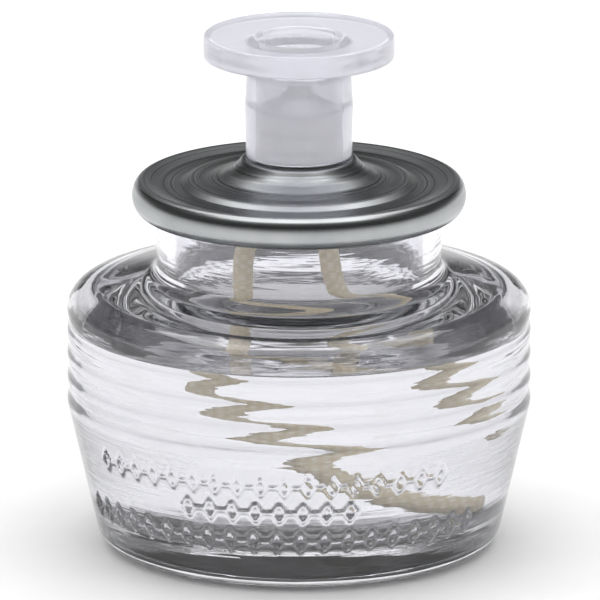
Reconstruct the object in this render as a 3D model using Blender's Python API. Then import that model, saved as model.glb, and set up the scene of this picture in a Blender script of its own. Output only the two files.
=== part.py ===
"""A small liquid-fuel burner: a ribbed glass bottle of fuel with a crimped metal closure, a metal burner
neck, two feeder wicks and a milky stopper that pulls off upwards. Sizes are in millimetres; the model itself
is in metres. The origin is on the surface the bottle stands on, on the bottle's axis; +Z is up and -Y is the
front."""

import math

import bmesh
import bpy
import numpy as np

MM = 0.001
GAP = 0.3                    # clearance kept between pieces that touch or press on each other

# Glass bottle
BODY_RADIUS = 28.55          # largest radius, on the crests of the ribs
WALL = 2.2                   # glass wall of body, shoulder and neck
FLOOR = 3.8                  # glass over the middle of the push-up
HEEL_RADIUS = 3.0            # rounding between the tapered wall and the standing ring
STANDING_RING = 4.0          # width of the flat ring that the bottle stands on
PUSH_UP = 1.0                # height of the hollow under the base
PUSH_UP_POWER = 10           # the hollow is flat but for its edge
TAPER_TOP = 16.6             # height where the taper ends and the ribbed band begins
TAPER_STEP = 0.41            # how far the top of the taper lies inside the ribs' crests
TAPER_SLOPE = 0.225          # growth of radius with height on the taper
RIB_PITCH = 2.85             # from groove to groove, and from the taper to the lowest groove
RIB_COUNT = 4
RIB_DEPTH = 0.35
RIB_CREST = 0.45             # from a groove down to the fullest height of the rib under it
SHOULDER_ROUND = 2.95        # rounding between the ribbed band and the shoulder
SHOULDER_RISE = 1.45         # height of the rounding's centre over the top groove
SHOULDER_SLOPE = 13.0        # degrees
NECK_RADIUS = 17.5
NECK_FILLET = 1.2
NECK_HEIGHT = 9.25           # from the shoulder's slope to the top of the glass rim
FINISH_PROUD = 2.05          # bead round the mouth, proud of the neck; the closure is crimped under it
FINISH_HEIGHT = 1.1
MOUTH_ROUND = 0.4            # edges of the mouth
INNER_CORNER = 1.2           # how much wider the inner rounding at the floor is than the heel
INNER_STEP = 0.25            # extra depth of the smooth inside of the ribbed band, over the wall
CEILING_RISE = 1.15          # inside of the shoulder, over the middle of the shoulder's outer rounding
CEILING_SLOPE = 4.0          # degrees
CEILING_CORNER = 2.0         # rounding from the wall into the ceiling
CEILING_FILLET = 2.8         # rounding from the ceiling up into the neck's bore

# Fuel
FUEL_DROP = 1.85             # level under the middle of the shoulder's outer rounding

# Metal closure
SHEET = 0.4
CAP_ROOM = 0.55              # between the glass bead and the inside of the closure's bead
CAP_BEAD_HEIGHT = 4.0
CAP_BEAD_WIDTH = 2.7
CAP_BEAD_RISE = 0.55         # top of the bead over the flat panel
CRIMP_ROOM = 0.5             # between the neck and the free edge of the crimp
CRIMP_TUCK = 0.9             # the panel starts this far inside the crimp
PANEL_WIDTH = 2.5
PANEL_RISE = 1.65            # top of the flat panel over the top of the glass rim
RIDGE_STEP = 1.4             # from the panel's inner edge in to the middle of the ridge
RIDGE_HEIGHT = 0.7           # over the panel
HUB_STEP = 1.8               # from the middle of the ridge in to the foot of the bell-shaped hub
HUB_RISE = 3.25              # the hub's land over the panel
GASKET_INSET = 0.6           # inside the glass rim, at both edges
LAND_WIDTH = 1.5             # flat land between the bell and the collar's hole
BELL = ((0.0, 0.6), (0.386, 1.0), (0.682, 1.75), (0.886, 2.6))    # share of the way in, rise over panel

# Burner neck
COLLAR_RADIUS = 5.2
COLLAR_WALL = 0.35
COLLAR_RISE = 6.5            # over the hub's land
COLLAR_DEPTH = 2.2           # under the hub's land
COLLAR_BEADS = (1.65, 3.85)  # heights of two rolled beads over the hub's land
COLLAR_BEAD = 0.12
COLLAR_BEAD_REACH = 0.3      # from a bead's crest to where it starts
WICK_RADIUS = 1.6
WICK_RISE = 3.6              # tip over the collar's rim
WICK_CHAMFER = 0.3
NOZZLE_CONE = 1.35           # height of the cone over the collar's rim
NOZZLE_DEPTH = 5.0           # length of the plug inside the collar, under its rim
SOCKET_DEPTH = 3.4           # the strands' socket, up from the plug's foot
SOCKET_WALL = 0.8
WICK_FOOT = 0.8              # the burner wick reaches this far down into the socket

# Feeder wicks: the route of each strand's middle line, from its top end to its free end
FEEDER_RADIUS = 1.25
FEEDER_LEFT = ((-1.45, 0.0, 48.6), (-1.6, 0.0, 45.6), (-3.4, 0.0, 42.6), (-5.6, 0.0, 39.6), (-6.7, 0.0, 36.4),
               (-6.9, -0.1, 33.0), (-7.0, -0.2, 29.8), (-7.6, -0.2, 26.8), (-8.4, -0.1, 24.0),
               (-7.8, 0.0, 21.7), (-6.1, 0.1, 19.6), (-4.1, 0.1, 17.6), (-1.0, 0.0, 15.3), (1.7, -0.1, 13.4),
               (4.1, -0.2, 11.5), (7.0, -0.3, 9.8), (10.0, -0.4, 8.6), (13.0, -0.5, 7.7), (16.4, -0.6, 7.0))
FEEDER_RIGHT = ((1.45, 0.0, 48.6), (1.6, 0.0, 45.6), (2.2, 0.0, 42.6), (3.2, 0.0, 39.6), (3.7, 0.1, 36.4),
                (4.2, 0.4, 33.4), (5.4, 1.8, 30.0), (7.6, 3.8, 26.8), (9.4, 5.1, 23.9), (10.9, 6.0, 21.2),
                (12.9, 6.4, 18.4), (15.4, 6.5, 15.6))
FEEDER_POINTS = 34

# Stopper
FLANGE_RADIUS = 11.75
FLANGE_THICKNESS = 2.9
FLANGE_ROUND = 0.35
LIP_WIDTH = 1.0
LIP_HEIGHT = 0.25
SLEEVE_FIT = 0.2             # clearance between the sleeve's bore and the collar's beads
SLEEVE_WALL = 1.03
SLEEVE_TAPER = 0.22          # the sleeve is this much slimmer just under the flange
STEP_PROUD = 0.15            # step round the sleeve, level with the collar's rim
RECESS_WALL = 1.23           # between the recess in the top and the sleeve's outside
RECESS_TAPER = 0.5
RECESS_DEPTH = 3.6
CEILING = 0.9                # thickness between the recess and the space round the wick
WICK_ROOM = 0.95             # from the wick's tip to that ceiling

SEGMENTS = 36
SMALL_SEGMENTS = 32


def arc(centre, radii, start, end, steps):
    """Points of an elliptical arc round centre, with its two half-axes, between two angles in degrees."""
    angles = np.radians(np.linspace(start, end, steps))
    return [(centre[0] + radii[0] * math.cos(a), centre[1] + radii[1] * math.sin(a)) for a in angles]


def make_material(name, colour, roughness, metallic=0.0, transmission=0.0, ior=1.5):
    material = bpy.data.materials.new(name)
    material.use_nodes = True
    shader = material.node_tree.nodes["Principled BSDF"]
    shader.inputs["Base Color"].default_value = (*colour, 1.0)
    shader.inputs["Roughness"].default_value = roughness
    shader.inputs["Metallic"].default_value = metallic
    shader.inputs["Transmission Weight"].default_value = transmission
    shader.inputs["IOR"].default_value = ior
    return material


def add_object(name, data, material):
    data.materials.append(material)
    piece = bpy.data.objects.new(name, data)
    bpy.context.scene.collection.objects.link(piece)
    return piece


def turned(name, outline, material, segments=SEGMENTS, closed=False):
    """Spin an outline of (radius, height) points about Z. Its ends are on the axis, or it is a closed ring."""
    mesh = bpy.data.meshes.new(name)
    shape = bmesh.new()
    points = [shape.verts.new((r * MM, 0.0, z * MM)) for r, z in outline]
    edges = [shape.edges.new(pair) for pair in zip(points[:-1], points[1:])]
    if closed:
        edges.append(shape.edges.new((points[-1], points[0])))
    bmesh.ops.spin(shape, geom=points + edges, cent=(0, 0, 0), axis=(0, 0, 1), angle=math.tau,
                   steps=segments, use_merge=True)
    bmesh.ops.remove_doubles(shape, verts=shape.verts, dist=1e-7)
    bmesh.ops.recalc_face_normals(shape, faces=shape.faces)
    shape.to_mesh(mesh)
    shape.free()
    mesh.shade_smooth()
    mesh.set_sharp_from_angle(angle=math.radians(35))
    return add_object(name, mesh, material)


def smooth_route(points, count):
    """Evenly spaced points on a Catmull-Rom curve through the given ones."""
    p = np.array(points)
    p = np.vstack([2 * p[0] - p[1], p, 2 * p[-1] - p[-2]])
    t = np.linspace(0, 1, 24, endpoint=False)[:, None]
    runs = [0.5 * (2 * b + (c - a) * t + (2 * a - 5 * b + 4 * c - d) * t ** 2
                   + (3 * b - a - 3 * c + d) * t ** 3)
            for a, b, c, d in zip(p[:-3], p[1:-2], p[2:-1], p[3:])]
    fine = np.vstack(runs + [p[-2:-1]])
    travelled = np.concatenate([[0], np.cumsum(np.linalg.norm(np.diff(fine, axis=0), axis=1))])
    wanted = np.linspace(0, travelled[-1], count)
    return np.column_stack([np.interp(wanted, travelled, fine[:, i]) for i in range(3)])


def with_longer_ends(route, extra):
    """The route with a straight piece of that length added at each end."""
    ends = [end + extra * (end - near) / np.linalg.norm(end - near)
            for end, near in ((route[0], route[1]), (route[-1], route[-2]))]
    return np.vstack([ends[0], route, ends[1]])


def tube(name, route, radius, material, resolution=2):
    """A round tube with filled ends along a route."""
    curve = bpy.data.curves.new(name, "CURVE")
    curve.dimensions = "3D"
    curve.bevel_depth = radius * MM
    curve.bevel_resolution = resolution
    curve.use_fill_caps = True
    spline = curve.splines.new("POLY")
    spline.points.add(len(route) - 1)
    for point, place in zip(spline.points, route):
        point.co = (*(place * MM), 1.0)
    return add_object(name, curve, material)


def mesh_copy(name, source):
    """A closed mesh object with the shape of a curve object, which it takes the place of."""
    shape = bmesh.new()
    mesh = bpy.data.meshes.new_from_object(source.evaluated_get(bpy.context.evaluated_depsgraph_get()))
    bpy.data.objects.remove(source)
    shape.from_mesh(mesh)
    bmesh.ops.remove_doubles(shape, verts=shape.verts, dist=1e-7)
    bmesh.ops.recalc_face_normals(shape, faces=shape.faces)
    shape.to_mesh(mesh)
    shape.free()
    piece = bpy.data.objects.new(name, mesh)
    bpy.context.scene.collection.objects.link(piece)
    return piece


def taper_radius(height):
    return BODY_RADIUS - TAPER_STEP - TAPER_SLOPE * (TAPER_TOP - height)


def heel_centre(radius):
    """Radius of the middle of a rounding which touches the table plane and the tapered wall."""
    lean = math.atan(TAPER_SLOPE)
    return taper_radius(radius) - radius / math.cos(lean)


def groove_height(number):
    return TAPER_TOP + (number + 1) * RIB_PITCH


def rib_outline():
    """Each rib is fullest just under the groove above it and thins out downwards to the next groove."""
    valley = BODY_RADIUS - RIB_DEPTH
    points = [(valley, TAPER_TOP + RIB_PITCH / 3)]
    for number in range(RIB_COUNT):
        groove = groove_height(number)
        points += [(BODY_RADIUS, groove - RIB_CREST), (valley, groove)]
        if number < RIB_COUNT - 1:
            points.append((BODY_RADIUS - RIB_DEPTH / 3, groove + RIB_PITCH / 2))
    return points


def shoulder_centre():
    return (BODY_RADIUS - SHOULDER_ROUND, groove_height(RIB_COUNT - 1) + SHOULDER_RISE)


def slope_height(radius):
    """Height of the shoulder's straight slope at a radius."""
    centre = shoulder_centre()
    lean = math.radians(SHOULDER_SLOPE)
    return centre[1] + SHOULDER_ROUND / math.cos(lean) + (centre[0] - radius) * math.tan(lean)


def neck_fillet():
    """The hollow rounding from the shoulder's slope up into the neck."""
    centre_r = NECK_RADIUS + NECK_FILLET
    centre_z = slope_height(centre_r) + NECK_FILLET / math.cos(math.radians(SHOULDER_SLOPE))
    return arc((centre_r, centre_z), (NECK_FILLET, NECK_FILLET), 270 - SHOULDER_SLOPE, 180, 5)


def mouth_height():
    return slope_height(NECK_RADIUS) + NECK_HEIGHT


def fuel_level():
    return shoulder_centre()[1] - FUEL_DROP


def inner_wall(inset):
    """Inside of the side wall, from the floor up to the lowest groove, moved inwards by inset."""
    lean = math.atan(TAPER_SLOPE)
    corner = HEEL_RADIUS + INNER_CORNER - inset
    corner_z = PUSH_UP + FLOOR + HEEL_RADIUS + INNER_CORNER
    across = (WALL + inset) / math.cos(lean)
    corner_r = taper_radius(corner_z) - across - corner / math.cos(lean)
    points = arc((corner_r, corner_z), (corner, corner), -90, -math.degrees(lean), 6)
    return points + [(taper_radius(TAPER_TOP) - across, TAPER_TOP),
                     (BODY_RADIUS - INNER_STEP - WALL - inset, groove_height(0))]


def inner_ceiling(inset):
    """Inside of the shoulder, moved inwards by inset: rounded out of the wall, nearly flat, and rounded up into
    the neck's bore."""
    corner_r = BODY_RADIUS - INNER_STEP - WALL - CEILING_CORNER
    flat_z = shoulder_centre()[1] + CEILING_RISE
    corner = CEILING_CORNER - inset
    fillet_r = NECK_RADIUS - WALL + CEILING_FILLET
    fillet_z = flat_z + (corner_r - fillet_r) * math.tan(math.radians(CEILING_SLOPE)) + CEILING_FILLET
    fillet = CEILING_FILLET + inset
    return (arc((corner_r, flat_z - CEILING_CORNER), (corner, corner), 0, 90 - CEILING_SLOPE, 5)
            + arc((fillet_r, fillet_z), (fillet, fillet), 270 - CEILING_SLOPE, 180, 5))


def build_bottle(material):
    lean = math.degrees(math.atan(TAPER_SLOPE))
    heel_r = heel_centre(HEEL_RADIUS)
    ring_inner = heel_r - STANDING_RING
    outside = [(share * ring_inner, PUSH_UP * (1 - share ** PUSH_UP_POWER))
               for share in (0.0, 0.78, 0.88, 0.95, 1.0)]
    outside += arc((heel_r, HEEL_RADIUS), (HEEL_RADIUS, HEEL_RADIUS), -90, -lean, 6)
    outside += [(taper_radius(TAPER_TOP), TAPER_TOP)] + rib_outline()
    outside += arc(shoulder_centre(), (SHOULDER_ROUND, SHOULDER_ROUND), 0, 90 - SHOULDER_SLOPE, 7)
    outside += neck_fillet()

    rim = mouth_height()
    half = FINISH_HEIGHT / 2
    finish_foot = rim - FINISH_HEIGHT
    mouth = [(NECK_RADIUS, finish_foot - MOUTH_ROUND), (NECK_RADIUS + MOUTH_ROUND, finish_foot)]
    mouth += arc((NECK_RADIUS + FINISH_PROUD - half, rim - half), (half, half), -90, 90, 5)
    bore = NECK_RADIUS - WALL
    mouth += [(bore + MOUTH_ROUND, rim), (bore, rim - MOUTH_ROUND)]

    inside = [(0.0, PUSH_UP + FLOOR)] + inner_wall(0.0) + inner_ceiling(0.0)
    return turned("glass_bottle", outside + mouth + inside[::-1], material)


def below_level(wall, level):
    """The part of a rising wall outline under a level, ending exactly on it."""
    kept = [wall[0]]
    for low, high in zip(wall[:-1], wall[1:]):
        if high[1] >= level:
            share = (level - low[1]) / (high[1] - low[1])
            return kept + [(low[0] + share * (high[0] - low[0]), level)]
        kept.append(high)
    return kept


def build_fuel(material, routes):
    """The fuel fills the bottle up to its level and leaves room round the two strands that hang in it."""
    wall = below_level(inner_wall(GAP) + inner_ceiling(GAP), fuel_level())
    outline = [(0.0, PUSH_UP + FLOOR + GAP)] + wall + [(0.0, fuel_level())]
    fuel = turned("lamp_fuel", outline, material)
    for side, route in routes.items():
        room = tube("route_" + side, with_longer_ends(route, GAP), FEEDER_RADIUS + GAP, material)
        cutter = mesh_copy("room_" + side, room)
        cutter.hide_render = True
        cutter.display_type = "WIRE"
        cut = fuel.modifiers.new("room_" + side, "BOOLEAN")
        cut.operation = "DIFFERENCE"
        cut.solver = "EXACT"
        cut.object = cutter
    return fuel


def panel_height():
    return mouth_height() + PANEL_RISE


def land_height():
    return panel_height() + HUB_RISE


def cap_radius():
    return NECK_RADIUS + FINISH_PROUD + CAP_ROOM + SHEET


def build_closure(material):
    """A stamped sheet: crimped bead, flat panel, ridge, and a bell-shaped hub with a land round its hole."""
    panel = panel_height()
    land = land_height()
    half = (CAP_BEAD_WIDTH / 2, CAP_BEAD_HEIGHT / 2)
    bead = (cap_radius() - half[0], panel + CAP_BEAD_RISE - half[1])
    crimp_r = NECK_RADIUS + CRIMP_ROOM
    crimp_z = bead[1] - half[1]
    panel_outer = crimp_r - CRIMP_TUCK
    panel_inner = panel_outer - PANEL_WIDTH
    ridge = panel_inner - RIDGE_STEP
    foot = ridge - HUB_STEP
    hole = COLLAR_RADIUS + GAP
    edge = hole + LAND_WIDTH
    bell = [(foot + share * (edge - foot), panel + rise) for share, rise in BELL]

    top = [(crimp_r, crimp_z)] + arc(bead, half, -100, 100, 11)
    top += [(panel_outer, panel), (panel_inner, panel), (ridge + 0.5, panel + RIDGE_HEIGHT - 0.15),
            (ridge, panel + RIDGE_HEIGHT)]
    top += bell + [(edge, land), (hole, land)]
    under = arc(bead, (half[0] - SHEET, half[1] - SHEET), -100, 100, 9)
    under += [(panel_outer, panel - SHEET), (panel_inner - 0.2, panel - SHEET),
              (ridge + 0.3, panel + RIDGE_HEIGHT - 0.15 - SHEET), (ridge, panel + RIDGE_HEIGHT - SHEET)]
    under += [(r - 0.6 * SHEET, z - 0.9 * SHEET) for r, z in bell]
    under += [(edge - 0.3, land - SHEET), (hole, land - SHEET)]
    return turned("closure_cap", top + under[::-1] + [(crimp_r, crimp_z + SHEET)], material, closed=True)


def build_gasket(material):
    low = mouth_height() + GAP
    high = panel_height() - SHEET - GAP
    inner = NECK_RADIUS - WALL + GASKET_INSET
    outer = NECK_RADIUS - GASKET_INSET
    ring = [(inner, low), (outer, low), (outer, high), (inner, high)]
    return turned("closure_gasket", ring, material, closed=True)


def build_collar(material):
    """Drawn tube that stands in the hub's hole, with a rolled rim and two fine rolled beads."""
    land = land_height()
    rim = land + COLLAR_RISE
    bore = COLLAR_RADIUS - COLLAR_WALL
    outside = [(COLLAR_RADIUS, land - COLLAR_DEPTH)]
    for height in COLLAR_BEADS:
        outside += [(COLLAR_RADIUS, land + height - COLLAR_BEAD_REACH),
                    (COLLAR_RADIUS + COLLAR_BEAD, land + height),
                    (COLLAR_RADIUS, land + height + COLLAR_BEAD_REACH)]
    outside += [(COLLAR_RADIUS, rim - 0.3), (COLLAR_RADIUS - 0.08, rim - 0.08), (COLLAR_RADIUS - 0.2, rim)]
    return turned("burner_collar", outside + [(bore, rim), (bore, land - COLLAR_DEPTH)], material,
                  SMALL_SEGMENTS, closed=True)


def nozzle_foot():
    return land_height() - COLLAR_DEPTH


def socket_top():
    return nozzle_foot() + SOCKET_DEPTH


def build_nozzle(material):
    """A cone-topped plug in the collar, with a bore for the burner wick over a wider socket for the strands."""
    rim = land_height() + COLLAR_RISE
    plug = COLLAR_RADIUS - COLLAR_WALL - GAP
    bore = WICK_RADIUS + GAP
    socket = abs(FEEDER_LEFT[0][0]) + FEEDER_RADIUS + GAP
    outside = [(socket + SOCKET_WALL, nozzle_foot()), (plug, rim - NOZZLE_DEPTH + 0.6), (plug, rim)]
    cone = [(0.62 * plug, rim + 0.72 * NOZZLE_CONE), (bore + 0.5, rim + NOZZLE_CONE),
            (bore, rim + NOZZLE_CONE)]
    inside = [(bore, socket_top()), (socket, socket_top()), (socket, nozzle_foot())]
    return turned("wick_nozzle", outside + cone + inside, material, SMALL_SEGMENTS, closed=True)


def wick_tip():
    return land_height() + COLLAR_RISE + WICK_RISE


def build_burner_wick(material):
    foot = socket_top() - WICK_FOOT
    tip = wick_tip()
    outline = [(0.0, foot), (WICK_RADIUS, foot), (WICK_RADIUS, tip - WICK_CHAMFER),
               (WICK_RADIUS - WICK_CHAMFER, tip), (0.0, tip)]
    return turned("burner_wick", outline, material, 24)


def build_stopper(material):
    """A cap whose sleeve slides over the collar; its ceiling clears the wick, under a recess in the top."""
    foot = land_height() + GAP
    rim = land_height() + COLLAR_RISE
    ceiling = wick_tip() + WICK_ROOM
    recess_floor = ceiling + CEILING
    top = recess_floor + RECESS_DEPTH
    under = top - FLANGE_THICKNESS
    bore = COLLAR_RADIUS + COLLAR_BEAD + SLEEVE_FIT
    sleeve = bore + SLEEVE_WALL
    slim = sleeve - SLEEVE_TAPER
    recess = slim - RECESS_WALL
    inside = [(0.0, ceiling), (bore - 1.3, ceiling), (bore - 0.5, ceiling - 0.7), (bore - 0.4, rim + 0.8),
              (bore, rim + 0.1), (bore, foot + 0.3), (bore + 0.3, foot)]
    outside = [(sleeve - 0.15, foot), (sleeve, foot + 0.15), (sleeve + 0.02, rim - 1.6),
               (sleeve + STEP_PROUD, rim + 0.2), (sleeve + STEP_PROUD - 0.08, rim + 0.6),
               (slim + 0.12, under - 2.4), (slim, under - 0.3)]
    edge = FLANGE_RADIUS - FLANGE_ROUND
    flange = [(slim + 0.35, under)]
    flange += arc((edge, under + FLANGE_ROUND), (FLANGE_ROUND, FLANGE_ROUND), -90, 0, 3)
    flange += arc((edge, top - FLANGE_ROUND), (FLANGE_ROUND, FLANGE_ROUND), 0, 90, 3)
    flange += [(FLANGE_RADIUS - LIP_WIDTH, top - LIP_HEIGHT), (recess + 0.35, top - LIP_HEIGHT - 0.1)]
    hollow = [(recess, top - LIP_HEIGHT - 0.45), (recess - RECESS_TAPER, recess_floor), (0.0, recess_floor)]
    return turned("stopper", inside + outside + flange + hollow, material, SMALL_SEGMENTS)


def main():
    for old in list(bpy.data.objects):
        bpy.data.objects.remove(old)

    glass = make_material("clear_glass", (0.97, 0.985, 0.985), 0.02, transmission=1.0, ior=1.5)
    fuel = make_material("clear_fuel", (0.99, 0.99, 0.98), 0.0, transmission=1.0, ior=1.44)
    tinplate = make_material("brushed_tinplate", (0.62, 0.62, 0.6), 0.3, metallic=1.0)
    steel = make_material("drawn_steel", (0.55, 0.55, 0.54), 0.35, metallic=1.0)
    liner = make_material("liner_compound", (0.75, 0.75, 0.72), 0.6)
    glass_fibre = make_material("glass_fibre_wick", (0.55, 0.55, 0.52), 0.9)
    cotton = make_material("cotton_wick", (0.72, 0.62, 0.44), 0.9)
    milky = make_material("milky_polyethylene", (0.9, 0.9, 0.93), 0.35, transmission=0.4, ior=1.51)

    routes = {"left": smooth_route(FEEDER_LEFT, FEEDER_POINTS),
              "right": smooth_route(FEEDER_RIGHT, FEEDER_POINTS)}
    build_bottle(glass)
    build_fuel(fuel, routes)
    build_closure(tinplate)
    build_gasket(liner)
    build_collar(steel)
    build_nozzle(steel)
    build_burner_wick(glass_fibre)
    for side, route in routes.items():
        tube("feeder_wick_" + side, route, FEEDER_RADIUS, cotton)
    build_stopper(milky)


main()
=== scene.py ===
"""Looks of the small liquid-fuel burner: clear ribbed glass, fuel, spun metal closure, two feeder wicks and a
milky stopper. Outlines are in millimetres as (radius, height) and are turned about Z; meshes are in
metres."""

import math

import bpy
import numpy as np
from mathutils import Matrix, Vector


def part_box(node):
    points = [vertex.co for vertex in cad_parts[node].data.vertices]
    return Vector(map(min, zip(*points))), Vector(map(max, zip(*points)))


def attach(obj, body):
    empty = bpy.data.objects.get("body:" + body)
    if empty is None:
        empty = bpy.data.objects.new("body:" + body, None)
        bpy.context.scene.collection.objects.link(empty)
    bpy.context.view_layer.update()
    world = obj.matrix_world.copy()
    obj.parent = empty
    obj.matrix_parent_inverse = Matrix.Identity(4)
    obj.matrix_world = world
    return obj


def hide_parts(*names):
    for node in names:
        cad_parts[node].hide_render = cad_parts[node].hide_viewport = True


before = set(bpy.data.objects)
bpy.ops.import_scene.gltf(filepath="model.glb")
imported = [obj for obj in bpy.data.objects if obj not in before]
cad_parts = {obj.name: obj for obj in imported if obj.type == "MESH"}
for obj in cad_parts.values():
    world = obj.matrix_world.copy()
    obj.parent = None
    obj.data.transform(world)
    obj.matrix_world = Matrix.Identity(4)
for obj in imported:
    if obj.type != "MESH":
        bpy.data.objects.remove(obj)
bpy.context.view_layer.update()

MM = 0.001


def top_of(node):
    """Height of a CAD node's highest point, in millimetres, as foot_of is its lowest and radius_of its
    widest."""
    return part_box(node)[1][2] / MM


def foot_of(node):
    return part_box(node)[0][2] / MM


def radius_of(node):
    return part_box(node)[1][0] / MM


# Camera: a long lens, fifteen degrees above the table
VIEW_DISTANCE = 2000.0
VIEW_ELEVATION = 15.0
VIEW_HEIGHT = 30.35
VIEW_ASIDE = 0.12
FOCAL_LENGTH = 975.96
SENSOR_WIDTH = 36.0

# Studio: the walls are white up to a low height all round and dark above it; sines of the elevations
WALL_BRIGHT = 0.0
WALL_DARK = 0.2
DARK_LEVEL = 0.03
FILL = 1.9                   # brightness of the white studio, for light that has been scattered
FLOOR_HALF_SIZE = 600.0
FLOOR_DROP = 0.2             # keeps the floor clear of the standing ring
SOFTBOX_PLACE = (0.0, 100.0, 900.0)
SOFTBOX_SIZE = (1100.0, 1000.0)
SOFTBOX_RADIANCE = 2.1

# Glass bottle
BODY_RADIUS = radius_of("glass_bottle")
MOUTH_HEIGHT = top_of("glass_bottle")
WALL = 2.2
FLOOR = 3.8
HEEL_RADIUS = 3.0            # of the rounding at the foot
STANDING_RING = 4.0
PUSH_UP = 1.0
PUSH_UP_POWER = 10           # the hollow under the base is flat but for its edge
TAPER_TOP = 16.6
TAPER_STEP = 0.41            # how far the top of the taper lies inside the ribs' crests
RIB_LAP = 0.12               # how far the lowest rib may stand out past the taper's line
TAPER_SLOPE = 0.225
RIB_PITCH = 2.85
RIB_FIRST = TAPER_TOP + RIB_PITCH
RIB_COUNT = 4
RIB_DEPTH = 0.35
RIB_PEAK = 0.62              # share of the pitch, from the groove up, where a rib is fullest
SHOULDER_ROUND = 2.95
SHOULDER_RISE = 1.45
SHOULDER_SLOPE = 13.0
NECK_RADIUS = 17.5
NECK_FILLET = 1.2
INNER_CORNER = 1.2           # how much wider the inner rounding at the floor is than the heel
INNER_STEP = 0.25            # extra depth of the smooth inside of the ribbed band, over the wall
CEILING_RISE = 1.15          # inside of the shoulder, over the middle of the shoulder's outer rounding
CEILING_SLOPE = 4.0
CEILING_CORNER = 2.0
CEILING_FILLET = 2.8
FINISH_RADIUS = 19.55
FINISH_HEIGHT = 1.1
MOUTH_ROUND = 0.4            # edges of the mouth

# Raised ornament on the front: rows of upright rhombus outlines with a dot between each two
ORNAMENT_ROWS = ((14.0, -58.0, 44.0), (10.6, -30.0, 18.0), (6.8, -70.0, 54.0))   # height, first, last angle
ORNAMENT_HALF_HEIGHT = 1.2
ORNAMENT_HALF_WIDTH = 0.8
ORNAMENT_PITCH = 2.9         # from rhombus to rhombus, along the glass
ORNAMENT_STROKE = 0.5
ORNAMENT_RAISE = 0.28
ORNAMENT_DOT = 0.35          # radius
ORNAMENT_MARGIN = 4.0        # degrees of closely spaced corners past the longest row's ends
ORNAMENT_TOP = TAPER_TOP - 1.0

# Fuel
FUEL_LEVEL = top_of("lamp_fuel")
WETTING = 0.04               # the fuel's surface is laid this far into the glass, so that no air shows there
MENISCUS_RISE = 0.5
MENISCUS_WIDTH = 1.1

GASKET_INSET = 0.6           # from the glass rim's inner edge

# Metal closure
SHEET = 0.4
CAP_RADIUS = radius_of("closure_cap")
CAP_BEAD_HEIGHT = 4.0
CAP_BEAD_WIDTH = 2.7
CAP_BEAD_RISE = 0.55         # top of the bead over the panel
CRIMP_RADIUS = 18.0
CRIMP_TUCK = 0.9
PANEL_INNER_RADIUS = 14.6
PANEL_RISE = 1.65
RIDGE_RADIUS = 13.2
RIDGE_HEIGHT = 0.7
HUB_RADIUS = 11.4
HUB_RISE = 3.25
BELL = ((0.0, 0.6), (1.7, 1.0), (3.0, 1.75), (3.9, 2.6), (4.4, HUB_RISE))   # way inwards, rise over the panel
BELL_SHEET = (-0.25, -0.35)  # from the top of the bell's slanting sheet to its underside
HEM_RISE = 0.12              # the crimp's free edge over the bead's lowest point
PANEL = MOUTH_HEIGHT + PANEL_RISE
LAND = PANEL + HUB_RISE

# Burner neck and stopper
COLLAR_RADIUS = 5.2
COLLAR_WALL = 0.35
COLLAR_BEADS = (1.65, 3.85)
COLLAR_BEAD = 0.12
COLLAR_BEAD_REACH = 0.3
CLEARANCE = 0.3              # between the collar and what goes over or into it
NOZZLE_SINK = 4.4            # how far the nozzle's straight part reaches down into the collar
NOZZLE_CONE_RISE = 0.97
WICK_BORE = 1.9
SOCKET_WALL = 0.8            # of the nozzle round the feeder strands
SOCKET_HEADROOM = 1.1
WICK_CHAMFER = 0.3
COLLAR_RIM = top_of("burner_collar")
COLLAR_FOOT = foot_of("burner_collar")
STOPPER_FOOT = foot_of("stopper")
STOPPER_TOP = top_of("stopper")
FLANGE_RADIUS = radius_of("stopper")
FLANGE_THICKNESS = 2.9
FLANGE_ROUND = 0.35
LIP_WIDTH = 0.8
LIP_HEIGHT = 0.25
SLEEVE_RADIUS = 6.55
SLEEVE_TOP_RADIUS = 6.33
STEP_RADIUS = 6.7
STEP_HEIGHT = 6.4
SLEEVE_BORE = 5.52
RECESS_RADIUS = 5.1
RECESS_FLOOR_RADIUS = 4.6
RECESS_DEPTH = 3.6
CEILING = 0.9

PLAITS = 4                   # plaits that slant each way round a braided strand
PLAIT_WIDTH = 1.3            # along a strand
PLAIT_SINK = 0.05            # how far the plaits' valleys lie inside a strand, over its radius

# Feeder wicks: routes of their middle lines, from the top end to the free end
FEEDER_RADIUS = 1.25
FEEDER_LEFT = ((-1.45, 0.0, 48.6), (-1.6, 0.0, 45.6), (-3.4, 0.0, 42.6), (-5.6, 0.0, 39.6), (-6.7, 0.0, 36.4),
               (-6.9, -0.1, 33.0), (-7.0, -0.2, 29.8), (-7.6, -0.2, 26.8), (-8.4, -0.1, 24.0), (-7.8, 0.0, 21.7),
               (-6.1, 0.1, 19.6), (-4.1, 0.1, 17.6), (-1.0, 0.0, 15.3), (1.7, -0.1, 13.4), (4.1, -0.2, 11.5),
               (7.0, -0.3, 9.8), (10.0, -0.4, 8.6), (13.0, -0.5, 7.7), (16.4, -0.6, 7.0))
FEEDER_RIGHT = ((1.45, 0.0, 48.6), (1.6, 0.0, 45.6), (2.2, 0.0, 42.6), (3.2, 0.0, 39.6), (3.7, 0.1, 36.4),
                (4.2, 0.4, 33.4), (5.4, 1.8, 30.0), (7.6, 3.8, 26.8), (9.4, 5.1, 23.9), (10.9, 6.0, 21.2),
                (12.9, 6.4, 18.4), (15.4, 6.5, 15.6))


# ---------------------------------------------------------------- outlines and surfaces

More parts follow.
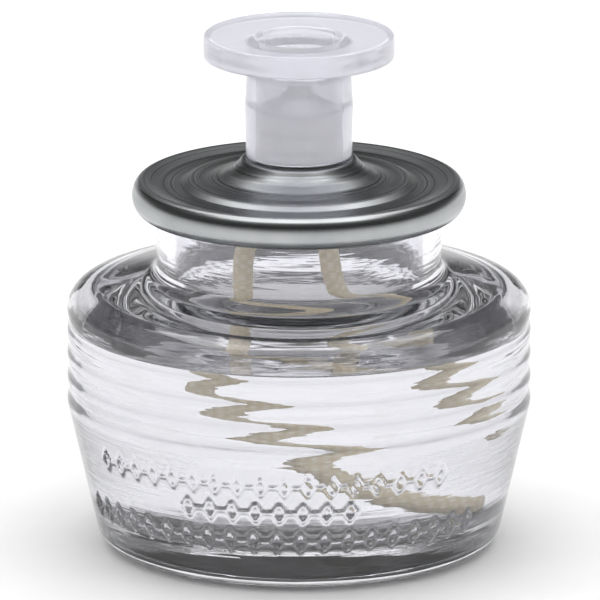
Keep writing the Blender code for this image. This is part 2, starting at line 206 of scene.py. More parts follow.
def arc(centre, half_axes, start, end, steps):
    """Points centre + (a cos t, b sin t) of an ellipse's arc, t running between two angles in degrees."""
    t = np.radians(np.linspace(start, end, steps))
    return np.column_stack([centre[0] + half_axes[0] * np.cos(t), centre[1] + half_axes[1] * np.sin(t)])


def softened(points, spacing, reach, closed=False):
    """An outline resampled at even steps of arc length, then blurred with a bell curve exp(-d^2 / 2 reach^2),
    which rounds its corners. An open outline is mirrored across the axis at its ends, so that it stays flat
    there."""
    p = np.vstack([points, points[:1]]) if closed else np.array(points, float)
    lengths = np.concatenate([[0], np.cumsum(np.linalg.norm(np.diff(p, axis=0), axis=1))])
    count = max(8, int(lengths[-1] / spacing))
    s = np.linspace(0, lengths[-1], count, endpoint=not closed)
    even = np.column_stack([np.interp(s, lengths, p[:, i]) for i in range(2)])
    width = int(3 * reach / spacing) + 1
    kernel = np.exp(-0.5 * (np.arange(-width, width + 1) * spacing / reach) ** 2)
    kernel /= kernel.sum()
    if closed:
        padded = np.vstack([even[-width:], even, even[:width]])
    else:
        mirror = np.array([-1.0, 1.0])
        padded = np.vstack([even[width:0:-1] * mirror, even, even[-2:-width - 2:-1] * mirror])
    smooth = np.column_stack([np.convolve(padded[:, i], kernel, "valid") for i in range(2)])
    if not closed:
        smooth[0, 0] = smooth[-1, 0] = 0.0
    return smooth


def mesh_object(name, corners, faces, material, smooth_angle=None):
    """A mesh object at the origin from corner places in millimetres and arrays of quads or triangles. All
    faces are turned round if the volume, a sixth of the sum of a . (b x c) over fan triangles, comes out
    negative."""
    volume = 0.0
    for group in faces:
        a, b, c = (corners[group[:, i]] for i in range(3))
        volume += np.einsum("ij,ij->", a, np.cross(b, c))
        if group.shape[1] == 4:
            volume += np.einsum("ij,ij->", a, np.cross(c, corners[group[:, 3]]))
    if volume < 0:
        faces = [group[:, ::-1] for group in faces]
    mesh = bpy.data.meshes.new(name)
    mesh.from_pydata((corners * MM).tolist(), [], [row for group in faces for row in group.tolist()])
    mesh.shade_smooth()
    if smooth_angle is not None:
        mesh.set_sharp_from_angle(angle=math.radians(smooth_angle))
    mesh.materials.append(material)
    piece = bpy.data.objects.new(name, mesh)
    bpy.context.scene.collection.objects.link(piece)
    return piece


def wound(rows, around, closed=False):
    """Faces of a grid of rows rings with around corners each, joined all the way round. A closed grid also
    joins its last ring to its first; an open one ends in a fan to one corner at each end, which follow the
    grid's corners."""
    i = np.arange(rows if closed else rows - 1)[:, None]
    j = np.arange(around)[None, :]
    up, right = (i + 1) % rows, (j + 1) % around
    quads = np.stack([i * around + j, i * around + right, up * around + right, up * around + j], -1)
    faces = [quads.reshape(-1, 4)]
    if not closed:
        near, far = np.arange(around), (rows - 1) * around + np.arange(around)
        faces.append(np.column_stack([np.full(around, rows * around), np.roll(near, -1), near]))
        faces.append(np.column_stack([np.full(around, rows * around + 1), far, np.roll(far, -1)]))
    return faces


def turned(name, outline, material, sides=192, closed=False, angles=None, relief=None, smooth_angle=None):
    """A surface of revolution: corner (i, j) is (r cos a, r sin a, z) with (r, z) point i of the outline and
    a angle j. relief(angle, radius, height) is added to r. An open outline starts and ends on the axis, in
    one corner each."""
    if angles is None:
        angles = np.arange(sides) * (math.tau / sides)
    ring = outline if closed else outline[1:-1]
    a, r = np.meshgrid(angles, ring[:, 0])
    z = np.repeat(ring[:, 1:], len(angles), axis=1)
    if relief is not None:
        r = r + relief(a, r, z)
    corners = np.stack([r * np.cos(a), r * np.sin(a), z], axis=-1).reshape(-1, 3)
    if not closed:
        corners = np.vstack([corners, [[0.0, 0.0, outline[0, 1]], [0.0, 0.0, outline[-1, 1]]]])
    return mesh_object(name, corners, wound(len(ring), len(angles), closed), material, smooth_angle)


def smooth_route(points, count):
    """Evenly spaced points on a Catmull-Rom curve through the given ones."""
    p = np.array(points)
    p = np.vstack([2 * p[0] - p[1], p, 2 * p[-1] - p[-2]])
    t = np.linspace(0, 1, 24, endpoint=False)[:, None]
    runs = [0.5 * (2 * b + (c - a) * t + (2 * a - 5 * b + 4 * c - d) * t ** 2 + (3 * b - a - 3 * c + d) * t ** 3)
            for a, b, c, d in zip(p[:-3], p[1:-2], p[2:-1], p[3:])]
    fine = np.vstack(runs + [p[-2:-1]])
    travelled = np.concatenate([[0], np.cumsum(np.linalg.norm(np.diff(fine, axis=0), axis=1))])
    wanted = np.linspace(0, travelled[-1], count)
    return np.column_stack([np.interp(wanted, travelled, fine[:, i]) for i in range(3)]), travelled[-1]


# ---------------------------------------------------------------- materials

def srgb(code):
    """Linear colour, with a full alpha, of an sRGB hex code."""
    parts = [int(code[i:i + 2], 16) / 255 for i in (1, 3, 5)]
    return (*(c / 12.92 if c <= 0.04045 else ((c + 0.055) / 1.055) ** 2.4 for c in parts), 1.0)


def per_mm(size):
    """Scale of a pattern on Object coordinates, which are in metres, whose cells are that many
    millimetres."""
    return 1.0 / (size * MM)


def add_node(tree, kind, inputs=None, feeds=None, **settings):
    """Adds a node, sets its properties, gives each named input a value or, from a socket, a link, and links
    the node's first live output to the socket that it feeds."""
    node = tree.nodes.new(kind)
    for name, value in settings.items():
        setattr(node, name, value)
    for name, value in (inputs or {}).items():
        if isinstance(value, bpy.types.NodeSocket):
            tree.links.new(value, node.inputs[name])
        else:
            node.inputs[name].default_value = value
    if feeds is not None:
        tree.links.new(next(socket for socket in node.outputs if socket.enabled), feeds)
    return node


def new_material(name, inputs):
    """A material with one Principled shader; constants are set on its own sockets. Also gives the material's
    tree and the shader's inputs, and a socket with Object coordinates."""
    material = bpy.data.materials.new(name)
    material.use_nodes = True
    tree = material.node_tree
    tree.nodes.clear()
    shader = add_node(tree, "ShaderNodeBsdfPrincipled", inputs)
    add_node(tree, "ShaderNodeOutputMaterial", {"Surface": shader.outputs[0]})
    place = add_node(tree, "ShaderNodeTexCoord").outputs["Object"]
    return material, tree, shader.inputs, place


def pressed_soda_lime_glass():
    """Clear soda-lime glass, pressed and blown: hard bright reflections. Its skin froze against the mould, so
    it has long shallow drag lines round the bottle and a faint orange-peel ripple, which draw the view
    through it out into fine level streaks. The drag lines are drawn deeper than the real ones so that they
    show."""
    material, tree, shader, place = new_material("pressed_soda_lime_glass", {
        "Base Color": srgb("#f2f2f6"), "Roughness": 0.0, "IOR": 1.5, "Transmission Weight": 1.0})
    line_length, line_pitch, peel_size, depth = 13.5, 0.9, 4.0, 0.05
    drawn_out = add_node(tree, "ShaderNodeVectorMath", {
        0: place, 1: (per_mm(line_length), per_mm(line_length), per_mm(line_pitch))}, operation="MULTIPLY")
    drag = add_node(tree, "ShaderNodeTexNoise", {"Vector": drawn_out.outputs[0], "Scale": 1.0, "Detail": 2.0})
    peel = add_node(tree, "ShaderNodeTexNoise", {"Vector": place, "Scale": per_mm(peel_size), "Detail": 1.0})
    skin = add_node(tree, "ShaderNodeMix", {"Factor": 0.35, "A": drag.outputs[0], "B": peel.outputs[0]})
    add_node(tree, "ShaderNodeBump", {"Height": skin.outputs[0], "Distance": depth * MM}, feeds=shader["Normal"])
    return material


def refined_lamp_oil():
    """Refined paraffin lamp oil: water-clear, with a trace of yellow that drifts through it in wide soft
    clouds."""
    material, tree, shader, place = new_material("refined_lamp_oil", {
        "Base Color": srgb("#fdfdfb"), "Roughness": 0.0, "IOR": 1.44, "Transmission Weight": 1.0})
    cloud_size = 20.0
    cloud = add_node(tree, "ShaderNodeTexNoise", {"Vector": place, "Scale": per_mm(cloud_size), "Detail": 0.0})
    add_node(tree, "ShaderNodeMix", {"Factor": cloud.outputs[0], "A": srgb("#fbfbf8"), "B": srgb("#fefefd")},
             feeds=shader["Base Color"], data_type="RGBA")
    return material


def spun_metal(name, light, dark, roughness, ring_pitch, ring_depth):
    """Sheet steel, stamped or drawn and then spun: tool rings round the axis, drawn a little coarser than the
    real ones so that they show, which spread each highlight across them into a soft fan. The dull plate
    clouds over in patches, and the rings' tops are a little duller than their valleys."""
    material, tree, shader, place = new_material(name, {
        "Base Color": srgb(light), "Metallic": 1.0, "Roughness": roughness, "Anisotropic": 0.4})
    patch_size = 5.0
    flat = add_node(tree, "ShaderNodeVectorMath", {0: place, 1: (1.0, 1.0, 0.0)}, operation="MULTIPLY")
    radius = add_node(tree, "ShaderNodeVectorMath", {0: flat.outputs[0]}, operation="LENGTH")
    rings = add_node(tree, "ShaderNodeTexNoise", {"W": radius.outputs["Value"], "Scale": per_mm(ring_pitch),
                                                  "Detail": 3.0}, noise_dimensions="1D")
    patches = add_node(tree, "ShaderNodeTexNoise", {"Vector": place, "Scale": per_mm(patch_size), "Detail": 4.0})
    add_node(tree, "ShaderNodeMix", {"Factor": patches.outputs[0], "A": srgb(dark), "B": srgb(light)},
             feeds=shader["Base Color"], data_type="RGBA")
    add_node(tree, "ShaderNodeMapRange", {"Value": rings.outputs[0], "From Min": 0.3, "From Max": 0.7,
                                          "To Min": roughness - 0.06, "To Max": roughness + 0.08},
             feeds=shader["Roughness"])
    add_node(tree, "ShaderNodeBump", {"Height": rings.outputs[0], "Distance": ring_depth * MM},
             feeds=shader["Normal"])
    add_node(tree, "ShaderNodeTangent", feeds=shader["Tangent"], direction_type="RADIAL", axis="Z")
    return material


def moulded_polyethylene():
    """Low-density polyethylene, injection moulded without pigment: waxy and milky, so that what stands behind
    it shows only softly; where it set more slowly it is a little hazier, in clouds drawn out along the
    flow."""
    material, tree, shader, place = new_material("moulded_polyethylene", {
        "Base Color": srgb("#e1e1e8"), "Roughness": 0.12, "IOR": 1.51, "Transmission Weight": 0.7})
    cloud_width, cloud_height = 2.5, 6.0
    flow = add_node(tree, "ShaderNodeVectorMath", {
        0: place, 1: (per_mm(cloud_width), per_mm(cloud_width), per_mm(cloud_height))}, operation="MULTIPLY")
    haze = add_node(tree, "ShaderNodeTexNoise", {"Vector": flow.outputs[0], "Scale": 1.0, "Detail": 2.0})
    add_node(tree, "ShaderNodeMapRange", {"Value": haze.outputs[0], "From Min": 0.3, "From Max": 0.7,
                                          "To Min": 0.1, "To Max": 0.15}, feeds=shader["Roughness"])
    add_node(tree, "ShaderNodeMix", {"Factor": haze.outputs[0], "A": srgb("#dcdce4"), "B": srgb("#e6e6eb")},
             feeds=shader["Base Color"], data_type="RGBA")
    return material


def braided_yarn(name, light, dark, fibre_size):
    """Braided yarn: round plaits that cross at a slant, and matt; painted shade darkens the colour in the valley
    beside each plait. It follows the strand through its own map: once round is one unit across, and one
    plait's width is one unit along. The plaits' height is the product of two zigzags that run round and along,
    one slanting each way; loose fibres are added to it, and the colour darkens where that height is low."""
    material, tree, shader, place = new_material(name, {"Base Color": srgb(light), "Roughness": 0.85,
                                                        "Sheen Weight": 0.15})
    plait_weight, plait_height = 2.5, 0.08
    strand = add_node(tree, "ShaderNodeUVMap", uv_map="braid")
    across = add_node(tree, "ShaderNodeSeparateXYZ", {0: strand.outputs[0]})
    zigzags = []
    for slant in (PLAITS, -PLAITS):
        turn = add_node(tree, "ShaderNodeMath", {0: across.outputs["X"], 1: slant, 2: across.outputs["Y"]},
                        operation="MULTIPLY_ADD")
        zigzags.append(add_node(tree, "ShaderNodeMath", {0: turn.outputs[0], 1: 0.5}, operation="PINGPONG"))
    plaits = add_node(tree, "ShaderNodeMath", {0: zigzags[0].outputs[0], 1: zigzags[1].outputs[0]},
                      operation="MULTIPLY")
    fibres = add_node(tree, "ShaderNodeTexNoise", {"Vector": place, "Scale": per_mm(fibre_size), "Detail": 3.0})
    height = add_node(tree, "ShaderNodeMath", {0: plaits.outputs[0], 1: plait_weight, 2: fibres.outputs[0]},
                      operation="MULTIPLY_ADD")
    # Painted shade: the colour runs from light down to dark as the height falls, so the plaits' valleys are
    # darker; the loose fibres in the height add a random tone on top
    share = add_node(tree, "ShaderNodeMapRange", {"Value": height.outputs[0], "From Min": 0.4, "From Max": 1.0})
    add_node(tree, "ShaderNodeMix", {"Factor": share.outputs[0], "A": srgb(dark), "B": srgb(light)},
             feeds=shader["Base Color"], data_type="RGBA")
    add_node(tree, "ShaderNodeBump", {"Height": height.outputs[0], "Distance": plait_height * MM},
             feeds=shader["Normal"])
    return material


def flowed_in_liner():
    """Sealing compound flowed into the closure and cured: rubbery and slightly uneven, with a dull skin."""
    material, tree, shader, place = new_material("flowed_in_liner", {"Base Color": srgb("#d8d6d0"),
                                                                     "Roughness": 0.6})
    patch_size = 3.0
    flow = add_node(tree, "ShaderNodeTexNoise", {"Vector": place, "Scale": per_mm(patch_size), "Detail": 3.0})
    add_node(tree, "ShaderNodeMix", {"Factor": flow.outputs[0], "A": srgb("#cbc8c0"), "B": srgb("#e2e0da")},
             feeds=shader["Base Color"], data_type="RGBA")
    add_node(tree, "ShaderNodeMapRange", {"Value": flow.outputs[0], "From Min": 0.3, "From Max": 0.7,
                                          "To Min": 0.5, "To Max": 0.7}, feeds=shader["Roughness"])
    return material


def seamless_paper():
    """Pale grey background paper, lit until it looks white: matt, with a faint fibre mottle."""
    material, tree, shader, place = new_material("seamless_paper", {"Base Color": srgb("#b6b6b6"),
                                                                    "Roughness": 0.9})
    mottle_size = 8.0
    mottle = add_node(tree, "ShaderNodeTexNoise", {"Vector": place, "Scale": per_mm(mottle_size), "Detail": 2.0})
    add_node(tree, "ShaderNodeMix", {"Factor": mottle.outputs[0], "A": srgb("#b4b4b4"), "B": srgb("#b8b8b8")},
             feeds=shader["Base Color"], data_type="RGBA")
    add_node(tree, "ShaderNodeMapRange", {"Value": mottle.outputs[0], "From Min": 0.3, "From Max": 0.7,
                                          "To Min": 0.86, "To Max": 0.94}, feeds=shader["Roughness"])
    return material


# ---------------------------------------------------------------- the pieces

def keep(piece, node, body="burner"):
    """Ties a finished piece to its body and hides the CAD node whose place it takes."""
    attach(piece, body)
    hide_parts(node)


def taper_radius(height):
    """Radius of the tapered lower wall, which grows evenly with height."""
    return BODY_RADIUS - TAPER_STEP - TAPER_SLOPE * (TAPER_TOP - height)


SHOULDER = (BODY_RADIUS - SHOULDER_ROUND, RIB_FIRST + (RIB_COUNT - 1) * RIB_PITCH + SHOULDER_RISE)


def slope_height(radius):
    """Height of the shoulder's straight slope at a radius."""
    lean = math.radians(SHOULDER_SLOPE)
    return SHOULDER[1] + SHOULDER_ROUND / math.cos(lean) + (SHOULDER[0] - radius) * math.tan(lean)


def ribbed_wall(height):
    """Radius of the outer wall in the ribbed band. Between two grooves a rib is two half parabolas that meet
    at its fullest height; under the lowest groove the tapered wall takes over."""
    step = (height - RIB_FIRST) / RIB_PITCH
    share = step - np.floor(step)
    fall = np.where(share < RIB_PEAK, 1 - share / RIB_PEAK, (share - RIB_PEAK) / (1 - RIB_PEAK)) ** 2
    fall = np.where((step < RIB_PEAK - 1) | (step > RIB_COUNT - 1 + RIB_PEAK), 0.0, fall)
    return np.minimum(BODY_RADIUS - RIB_DEPTH * fall, taper_radius(height) + RIB_LAP)


def neck_fillet():
    """The hollow rounding from the shoulder's slope up into the neck."""
    centre_r = NECK_RADIUS + NECK_FILLET
    centre_z = slope_height(centre_r) + NECK_FILLET / math.cos(math.radians(SHOULDER_SLOPE))
    return arc((centre_r, centre_z), (NECK_FILLET, NECK_FILLET), 270 - SHOULDER_SLOPE, 180, 12)


def inner_wall(inset):
    """Inside of the side wall from the floor's middle up to the lowest groove, moved inwards by inset."""
    lean = math.atan(TAPER_SLOPE)
    corner = HEEL_RADIUS + INNER_CORNER - inset
    corner_z = PUSH_UP + FLOOR + HEEL_RADIUS + INNER_CORNER
    across = (WALL + inset) / math.cos(lean)
    centre = (taper_radius(corner_z) - across - corner / math.cos(lean), corner_z)
    return np.vstack([[(0.0, corner_z - corner)], arc(centre, (corner, corner), -90, -math.degrees(lean), 24),
                      [(taper_radius(TAPER_TOP) - across, TAPER_TOP),
                       (BODY_RADIUS - INNER_STEP - WALL - inset, RIB_FIRST)]])


def inner_ceiling():
    """Inside of the shoulder: rounded out of the wall, nearly flat, and rounded up into the neck's bore."""
    corner_r = BODY_RADIUS - INNER_STEP - WALL - CEILING_CORNER
    flat_z = SHOULDER[1] + CEILING_RISE
    fillet_r = NECK_RADIUS - WALL + CEILING_FILLET
    fillet_z = flat_z + (corner_r - fillet_r) * math.tan(math.radians(CEILING_SLOPE)) + CEILING_FILLET
    return np.vstack([arc((corner_r, flat_z - CEILING_CORNER), (CEILING_CORNER, CEILING_CORNER), 0,
                          90 - CEILING_SLOPE, 24),
                      arc((fillet_r, fillet_z), (CEILING_FILLET, CEILING_FILLET), 270 - CEILING_SLOPE, 180, 24)])


def bottle_outline():
    """The whole glass in one outline, from the push-up's middle, outside and over the mouth, to the floor's
    middle."""
    lean = math.atan(TAPER_SLOPE)
    heel = (taper_radius(HEEL_RADIUS) - HEEL_RADIUS / math.cos(lean), HEEL_RADIUS)
    ring_inner = heel[0] - STANDING_RING
    share = np.linspace(0, 1, 80)
    push_up = np.column_stack([share * ring_inner, PUSH_UP * (1 - share ** PUSH_UP_POWER)])
    heights = np.linspace(TAPER_TOP, SHOULDER[1], 240)
    outside = [push_up, arc(heel, (HEEL_RADIUS, HEEL_RADIUS), -90, -math.degrees(lean), 24),
               np.column_stack([ribbed_wall(heights), heights]),
               arc(SHOULDER, (SHOULDER_ROUND, SHOULDER_ROUND), 2, 90 - SHOULDER_SLOPE, 32), neck_fillet()]
    half = FINISH_HEIGHT / 2
    bore = NECK_RADIUS - WALL
    finish_foot = MOUTH_HEIGHT - FINISH_HEIGHT
    mouth = [[(NECK_RADIUS, finish_foot - MOUTH_ROUND), (NECK_RADIUS + MOUTH_ROUND, finish_foot)],
             arc((FINISH_RADIUS - half, MOUTH_HEIGHT - half), (half, half), -90, 90, 12),
             [(bore + MOUTH_ROUND, MOUTH_HEIGHT), (bore, MOUTH_HEIGHT - MOUTH_ROUND)]]
    inside = np.vstack([inner_wall(0.0), inner_ceiling()])
    return np.vstack(outside + mouth + [inside[::-1]])


def ornament_relief(angle, radius, height):
    """Height of the ornament over the glass. In a row, u runs along the glass and v up from the row's middle.
    A rhombus outline is where |u| / half width + |v| / half height is close to 1, and a dot is where the
    distance from a point half-way between two rhombi is small; both fall off sideways as a raised cosine,
    which is down to nothing 0.6 strokes away."""
    raised = np.zeros_like(radius)
    front = np.degrees(angle) - 270.0
    outer = radius > taper_radius(height) - WALL / 4
    to_rim = 1 / math.hypot(1 / ORNAMENT_HALF_WIDTH, 1 / ORNAMENT_HALF_HEIGHT)
    for row, first, last in ORNAMENT_ROWS:
        pitch = math.degrees(ORNAMENT_PITCH / taper_radius(row))
        count = int((last - first) / pitch)
        step = (front - first) / pitch
        v = height - row
        u = (step - np.clip(np.round(step), 0, count)) * ORNAMENT_PITCH
        rim = to_rim * np.abs(np.abs(u) / ORNAMENT_HALF_WIDTH + np.abs(v) / ORNAMENT_HALF_HEIGHT - 1)
        u = (step - np.clip(np.floor(step) + 0.5, 0.5, count - 0.5)) * ORNAMENT_PITCH
        dot = np.hypot(u, v) - (ORNAMENT_DOT - ORNAMENT_STROKE / 2)
        fall = np.clip(np.minimum(rim, dot) / (0.6 * ORNAMENT_STROKE), 0.0, 1.0)
        raised += np.where(outer, ORNAMENT_RAISE * 0.5 * (1 + np.cos(math.pi * fall)), 0.0)
    return raised


def bottle_angles():
    """Angles round the bottle, closer together over the front, where the ornament needs them."""
    start = min(first for height, first, last in ORNAMENT_ROWS) - ORNAMENT_MARGIN
    end = max(last for height, first, last in ORNAMENT_ROWS) + ORNAMENT_MARGIN
    front = np.linspace(start, end, 230)
    rest = np.linspace(end, start + 360.0, 64)[1:-1]
    return np.radians(270.0 + np.concatenate([front, rest]))


def build_bottle():
    """The glass, turned from its whole outline, with the ornament added to its radius. Every second ring is
    left out where there is no ornament."""
    fine = softened(bottle_outline(), spacing=0.25, reach=0.12)
    order = np.arange(len(fine))
    ornamented = (order < len(fine) / 2) & (fine[:, 0] > taper_radius(0)) & (fine[:, 1] < ORNAMENT_TOP)
    kept = ornamented | (order % 2 == 0)
    kept[[0, -1]] = True
    bottle = turned("glass_bottle_body", fine[kept], pressed_soda_lime_glass(), angles=bottle_angles(),
                    relief=ornament_relief)
    keep(bottle, "glass_bottle")


def build_fuel():
    """The fuel, turned from the inside of the wall up to its level. At the wall it climbs: over a share t of
    the meniscus' width, from the wall inwards, it stands rise (1 - t) cubed over the level."""
    wall = inner_wall(-WETTING)
    edge = BODY_RADIUS - INNER_STEP - WALL + WETTING
    rise = np.linspace(0.0, 1.0, 16)
    meniscus = np.column_stack([edge - MENISCUS_WIDTH * rise, FUEL_LEVEL + MENISCUS_RISE * (1 - rise) ** 3])
    outline = np.vstack([wall, meniscus, [(0.0, FUEL_LEVEL)]])
    fuel = turned("lamp_fuel_body", softened(outline, spacing=0.4, reach=0.05), refined_lamp_oil(), sides=128,
                  smooth_angle=40)
    keep(fuel, "lamp_fuel")


def build_closure():
    """The stamped closure, turned from a closed loop: over the crimped bead, which is an elliptical arc, the
    panel, the ridge and the bell-shaped hub to the hole's edge, and back under them one sheet's thickness
    lower."""
    half = np.array([CAP_BEAD_WIDTH / 2, CAP_BEAD_HEIGHT / 2])
    bead = (CAP_RADIUS - half[0], PANEL + CAP_BEAD_RISE - half[1])
    hole = COLLAR_RADIUS + CLEARANCE
    bell = np.array([(HUB_RADIUS - inwards, rise) for inwards, rise in BELL])
    panel = [(CRIMP_RADIUS - CRIMP_TUCK, 0.0), (PANEL_INNER_RADIUS, 0.0),
             (RIDGE_RADIUS + 0.5, RIDGE_HEIGHT - 0.15), (RIDGE_RADIUS, RIDGE_HEIGHT)]
    over = np.vstack([arc(bead, half, -100, 100, 48), np.array(panel) + (0, PANEL), bell + (0, PANEL),
                      [(hole, LAND)]])
    under = np.vstack([arc(bead, half - SHEET, -100, 100, 48), np.array(panel) + (0, PANEL - SHEET),
                       bell[:-1] + BELL_SHEET + (0, PANEL),
                       [(bell[-1, 0] - 0.3, LAND - SHEET), (hole, LAND - SHEET)]])
    edge = bead[1] - half[1] + HEM_RISE
    loop = np.vstack([[(CRIMP_RADIUS, edge)], over, under[::-1], [(CRIMP_RADIUS, edge + SHEET)]])
    cap = turned("closure_cap_shell", softened(loop, spacing=0.15, reach=0.14, closed=True),
                 spun_metal("spun_dull_tinplate", "#c3c5c6", "#a2a5a7", 0.32, 0.3, 0.008), closed=True)
    keep(cap, "closure_cap")


def build_gasket():
    """The sealing ring, turned from a rectangle with softened corners."""
    low, high = foot_of("closure_gasket"), top_of("closure_gasket")
    inner, outer = NECK_RADIUS - WALL + GASKET_INSET, radius_of("closure_gasket")
    loop = np.array([(inner, low), (outer, low), (outer, high), (inner, high)])
    gasket = turned("closure_gasket_ring", softened(loop, spacing=0.1, reach=0.08, closed=True),
                    flowed_in_liner(), sides=96, closed=True)
    keep(gasket, "closure_gasket")


def build_burner():
    """The collar with its two rolled beads, the cone-topped nozzle with the wick's bore over the strands'
    wider socket, and the wick's rod, each turned from its outline."""
    steel = spun_metal("drawn_steel", "#b9b9b6", "#a3a3a0", 0.3, 0.4, 0.02)
    bore = COLLAR_RADIUS - COLLAR_WALL
    loop = [(COLLAR_RADIUS, COLLAR_FOOT)]
    for height in COLLAR_BEADS:
        loop += [(COLLAR_RADIUS, LAND + height - COLLAR_BEAD_REACH),
                 (COLLAR_RADIUS + COLLAR_BEAD, LAND + height),
                 (COLLAR_RADIUS, LAND + height + COLLAR_BEAD_REACH)]
    loop += [(COLLAR_RADIUS, COLLAR_RIM - 0.2), (COLLAR_RADIUS - 0.15, COLLAR_RIM), (bore, COLLAR_RIM),
             (bore, COLLAR_FOOT)]
    collar = turned("burner_collar_tube", softened(loop, spacing=0.06, reach=0.06, closed=True), steel,
                    sides=128, closed=True)
    keep(collar, "burner_collar")

    plug = bore - CLEARANCE
    socket = abs(FEEDER_LEFT[0][0]) + FEEDER_RADIUS + CLEARANCE
    nozzle_top, nozzle_foot = top_of("wick_nozzle"), foot_of("wick_nozzle")
    socket_top = FEEDER_LEFT[0][2] + SOCKET_HEADROOM
    loop = [(socket + SOCKET_WALL, nozzle_foot), (plug, COLLAR_RIM - NOZZLE_SINK), (plug, COLLAR_RIM),
            (0.62 * plug, COLLAR_RIM + NOZZLE_CONE_RISE), (WICK_BORE + 0.5, nozzle_top), (WICK_BORE, nozzle_top),
            (WICK_BORE, socket_top), (socket, socket_top), (socket, nozzle_foot)]
    nozzle = turned("wick_nozzle_plug", softened(loop, spacing=0.08, reach=0.08, closed=True), steel, sides=96,
                    closed=True)
    keep(nozzle, "wick_nozzle")

    foot, tip, wick_radius = foot_of("burner_wick"), top_of("burner_wick"), radius_of("burner_wick")
    outline = [(0.0, foot), (wick_radius, foot), (wick_radius, tip - WICK_CHAMFER),
               (wick_radius - WICK_CHAMFER, tip), (0.0, tip)]
    # the yarn's darker colour is painted shade in the plaits' valleys
    wick = turned("burner_wick_braid", softened(outline, spacing=0.1, reach=0.08),
                  braided_yarn("braided_glass_fibre", "#a9a9a2", "#8d8d87", 0.1), sides=64)
    places = np.empty(len(wick.data.vertices) * 3)
    wick.data.vertices.foreach_get("co", places)
    x, y, z = places.reshape(-1, 3).T / MM
    lay_braid_map(wick.data, np.arctan2(y, x) / math.tau, z)
    keep(wick, "burner_wick")


def lay_braid_map(mesh, turn, along):
    """A map named braid from each corner's place on a strand: turns round it, and millimetres along it over
    the plait's width. In every face the turns are brought within half a turn of the first corner's."""
    corner = np.empty(len(mesh.loops), int)
    mesh.loops.foreach_get("vertex_index", corner)
    size = np.empty(len(mesh.polygons), int)
    mesh.polygons.foreach_get("loop_total", size)
    first = np.repeat(turn[corner][np.cumsum(size) - size], size)
    near = turn[corner] - np.round(turn[corner] - first)
    places = np.column_stack([near, along[corner] / PLAIT_WIDTH])
    mesh.uv_layers.new(name="braid").data.foreach_set("uv", places.ravel())


def build_feeder(side, points, material):
    """A round strand: ring j of the route has corner k at route(j) + R(j, k) (cos a u + sin a w), where u and
    w are two directions across the route and a is the angle of corner k. R is a little smaller than the
    strand's radius between the plaits: it follows cos(p + s) cos(p - s), with p running round and s along. A
    fan closes each end."""
    route, length = smooth_route(points, 320)
    tangent = np.gradient(route, axis=0)
    tangent /= np.linalg.norm(tangent, axis=1)[:, None]
    u = np.cross(tangent, (0.0, 1.0, 0.0))
    u /= np.linalg.norm(u, axis=1)[:, None]
    w = np.cross(tangent, u)
    around = 32
    a = np.arange(around) * (math.tau / around)
    travelled = np.linspace(0, length, len(route))
    p, s = PLAITS * a[None, :], math.pi * travelled[:, None] / PLAIT_WIDTH
    radius = FEEDER_RADIUS * (1 - PLAIT_SINK * (1 - np.cos(p + s) * np.cos(p - s)) / 2)
    ring = u[:, None, :] * np.cos(a)[None, :, None] + w[:, None, :] * np.sin(a)[None, :, None]
    corners = (route[:, None, :] + radius[:, :, None] * ring).reshape(-1, 3)
    strand = mesh_object("feeder_strand_" + side, np.vstack([corners, route[[0, -1]]]),
                         wound(len(route), around), material)
    lay_braid_map(strand.data, np.append(np.tile(a / math.tau, len(route)), [0.0, 0.0]),
                  np.append(np.repeat(travelled, around), [0.0, length]))
    keep(strand, "feeder_wick_" + side)


def build_stopper():
    """The stopper, turned from one outline: from the ceiling over the wick down the bore to the sleeve's
    foot, up its outside past the step, round the flange's edge, and over the lip down into the recess. The
    small offsets are the mould's roundings and drafts."""
    foot, top = STOPPER_FOOT, STOPPER_TOP
    under = top - FLANGE_THICKNESS
    ceiling = top - RECESS_DEPTH - CEILING
    inside = [(0.0, ceiling), (SLEEVE_BORE - 1.3, ceiling), (SLEEVE_BORE - 0.5, ceiling - 0.7),
              (SLEEVE_BORE - 0.4, foot + STEP_HEIGHT + 0.6), (SLEEVE_BORE, foot + STEP_HEIGHT - 0.1),
              (SLEEVE_BORE, foot + 0.3), (SLEEVE_BORE + 0.3, foot)]
    outside = [(SLEEVE_RADIUS - 0.15, foot), (SLEEVE_RADIUS, foot + 0.15), (SLEEVE_RADIUS + 0.02, foot + 4.6),
               (STEP_RADIUS, foot + STEP_HEIGHT), (STEP_RADIUS - 0.08, foot + STEP_HEIGHT + 0.4),
               (SLEEVE_TOP_RADIUS + 0.12, under - 2.4), (SLEEVE_TOP_RADIUS, under - 0.3),
               (SLEEVE_TOP_RADIUS + 0.35, under)]
    recess = [(FLANGE_RADIUS - LIP_WIDTH - 0.2, top - LIP_HEIGHT),
              (RECESS_RADIUS + 0.35, top - LIP_HEIGHT - 0.1),
              (RECESS_RADIUS, top - LIP_HEIGHT - 0.45), (RECESS_FLOOR_RADIUS, top - RECESS_DEPTH),
              (0.0, top - RECESS_DEPTH)]
    edge = FLANGE_RADIUS - FLANGE_ROUND
    outline = np.vstack([inside, outside,
                         arc((edge, under + FLANGE_ROUND), (FLANGE_ROUND, FLANGE_ROUND), -90, 0, 8),
                         arc((edge, top - FLANGE_ROUND), (FLANGE_ROUND, FLANGE_ROUND), 0, 90, 8), recess])
    stopper = turned("stopper_moulding", softened(outline, spacing=0.12, reach=0.12), moulded_polyethylene(),
                     sides=160)
    keep(stopper, "stopper", body="stopper")


# ---------------------------------------------------------------- the studio

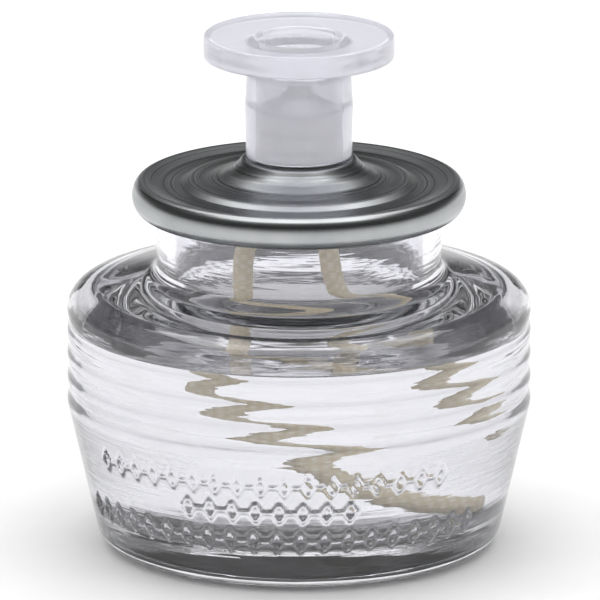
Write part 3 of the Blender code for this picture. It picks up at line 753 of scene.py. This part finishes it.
def place_camera(scene):
    """A long lens that looks at the bottle's middle from in front and above."""
    lean = math.radians(VIEW_ELEVATION)
    lens = bpy.data.cameras.new("long_lens")
    lens.sensor_width = SENSOR_WIDTH
    lens.lens = FOCAL_LENGTH
    lens.clip_end = 10 * VIEW_DISTANCE * MM
    camera = bpy.data.objects.new("camera", lens)
    camera.location = (VIEW_ASIDE * MM, -math.cos(lean) * VIEW_DISTANCE * MM,
                       (VIEW_HEIGHT + math.sin(lean) * VIEW_DISTANCE) * MM)
    camera.rotation_euler = (math.pi / 2 - lean, 0.0, 0.0)
    scene.collection.objects.link(camera)
    scene.camera = camera


def lay_floor(scene):
    """A plain square sheet of paper under the bottle."""
    size = FLOOR_HALF_SIZE * MM
    mesh = bpy.data.meshes.new("floor")
    corners = [(-size, -size, 0), (size, -size, 0), (size, size, 0), (-size, size, 0)]
    mesh.from_pydata(corners, [], [(0, 1, 2, 3)])
    mesh.materials.append(seamless_paper())
    floor = bpy.data.objects.new("floor", mesh)
    floor.location.z = -FLOOR_DROP * MM
    scene.collection.objects.link(floor)


def hang_softbox(scene):
    """One wide soft light overhead; a radiance r over an area A needs a power of pi r A."""
    light = bpy.data.lights.new("softbox", "AREA")
    light.shape = "RECTANGLE"
    light.size, light.size_y = (length * MM for length in SOFTBOX_SIZE)
    light.energy = SOFTBOX_RADIANCE * math.pi * light.size * light.size_y
    lamp = bpy.data.objects.new("softbox", light)
    lamp.location = Vector(SOFTBOX_PLACE) * MM
    lamp.visible_camera = False
    scene.collection.objects.link(lamp)


def paint_studio(scene):
    """White walls up to a low height and dark above it, as the glass and metal see them; light that has been
    scattered on its way comes from a studio that is white all round."""
    world = bpy.data.worlds.new("studio")
    scene.world = world
    world.cycles.sampling_method = "NONE"
    world.use_nodes = True
    tree = world.node_tree
    tree.nodes.clear()
    place = add_node(tree, "ShaderNodeTexCoord")
    parts = add_node(tree, "ShaderNodeSeparateXYZ", {0: place.outputs["Generated"]})
    level = add_node(tree, "ShaderNodeMapRange", {"Value": parts.outputs["Z"], "From Min": WALL_BRIGHT,
                                                  "From Max": WALL_DARK, "To Min": 1.0, "To Max": DARK_LEVEL},
                     interpolation_type="SMOOTHSTEP")
    path = add_node(tree, "ShaderNodeLightPath")
    scattered = add_node(tree, "ShaderNodeMath", {0: path.outputs["Diffuse Depth"], 1: 1.0}, operation="MINIMUM")
    strength = add_node(tree, "ShaderNodeMapRange", {"Value": scattered.outputs[0], "To Min": level.outputs[0],
                                                     "To Max": FILL})
    background = add_node(tree, "ShaderNodeBackground", {"Color": (1.0, 1.0, 1.0, 1.0),
                                                         "Strength": strength.outputs[0]})
    add_node(tree, "ShaderNodeOutputWorld", {"Surface": background.outputs[0]})


studio = bpy.context.scene
studio.view_settings.view_transform = "Standard"
studio.cycles.max_bounces = 32
studio.cycles.transmission_bounces = 28
studio.cycles.glossy_bounces = 16
place_camera(studio)
lay_floor(studio)
hang_softbox(studio)
paint_studio(studio)

# the yarn's darker colour is painted shade in the plaits' valleys
cotton = braided_yarn("braided_cotton_in_oil", "#fbf3df", "#e6d6b2", 0.12)
build_feeder("left", FEEDER_LEFT, cotton)
build_feeder("right", FEEDER_RIGHT, cotton)
build_bottle()
build_fuel()
build_closure()
build_gasket()
build_burner()
build_stopper()
